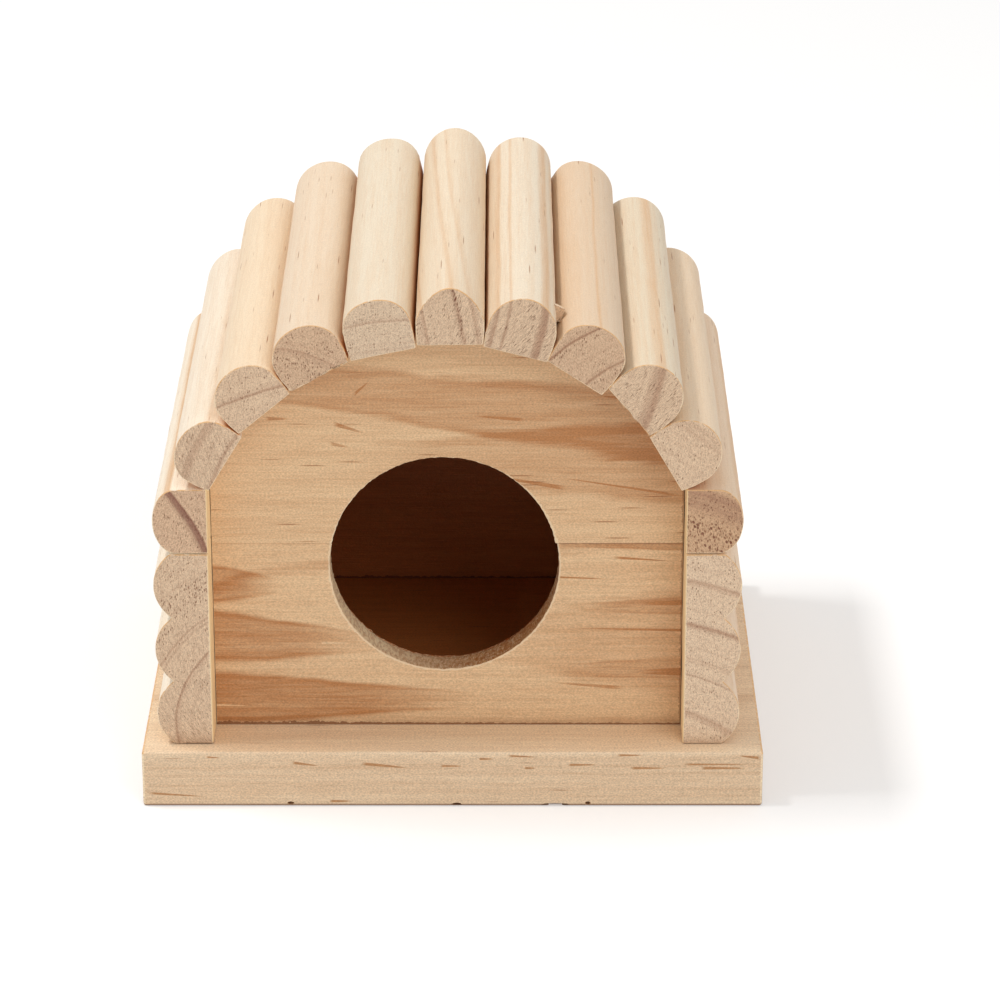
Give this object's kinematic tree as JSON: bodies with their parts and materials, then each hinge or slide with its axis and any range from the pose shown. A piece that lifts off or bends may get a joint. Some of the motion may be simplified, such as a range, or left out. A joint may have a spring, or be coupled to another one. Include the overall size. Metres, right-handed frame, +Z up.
{
  "type": "wooden hamster house",
  "caption": "Small log-cabin style hideout for a hamster: scalloped half-round pine walls, an arched roof of half-round battens, a round door in the set-back front panel, on a floor board.",
  "frame": {"origin": "middle of the floor board's underside, on the surface the house stands on", "axes": "+Z up, the door faces -Y, +X to the right of someone looking at the door"},
  "size_m": [0.135, 0.12, 0.1184],
  "materials": {
    "pine_batten": "sanded, unfinished pale pine",
    "pine_panel": "sanded, unfinished warm pine with flat-sawn figure",
    "pine_floor": "sanded, unfinished pine",
    "nail_steel": "bright drawn wire"
  },
  "bodies": {
    "root": {"floor_board": "pine_floor", "left_wall_moulding": "pine_batten", "left_wall_top_batten": "pine_batten", "right_wall_moulding": "pine_batten", "right_wall_top_batten": "pine_batten", "roof_batten_left_4": "pine_batten", "roof_batten_left_3": "pine_batten", "roof_batten_left_2": "pine_batten", "roof_batten_left_1": "pine_batten", "roof_batten_ridge": "pine_batten", "roof_batten_right_1": "pine_batten", "roof_batten_right_2": "pine_batten", "roof_batten_right_3": "pine_batten", "roof_batten_right_4": "pine_batten", "front_panel_lower_board": "pine_panel", "front_panel_upper_board": "pine_panel", "back_panel_lower_board": "pine_panel", "back_panel_upper_board": "pine_panel", "floor_nails": "nail_steel"}
  },
  "joints": []
}
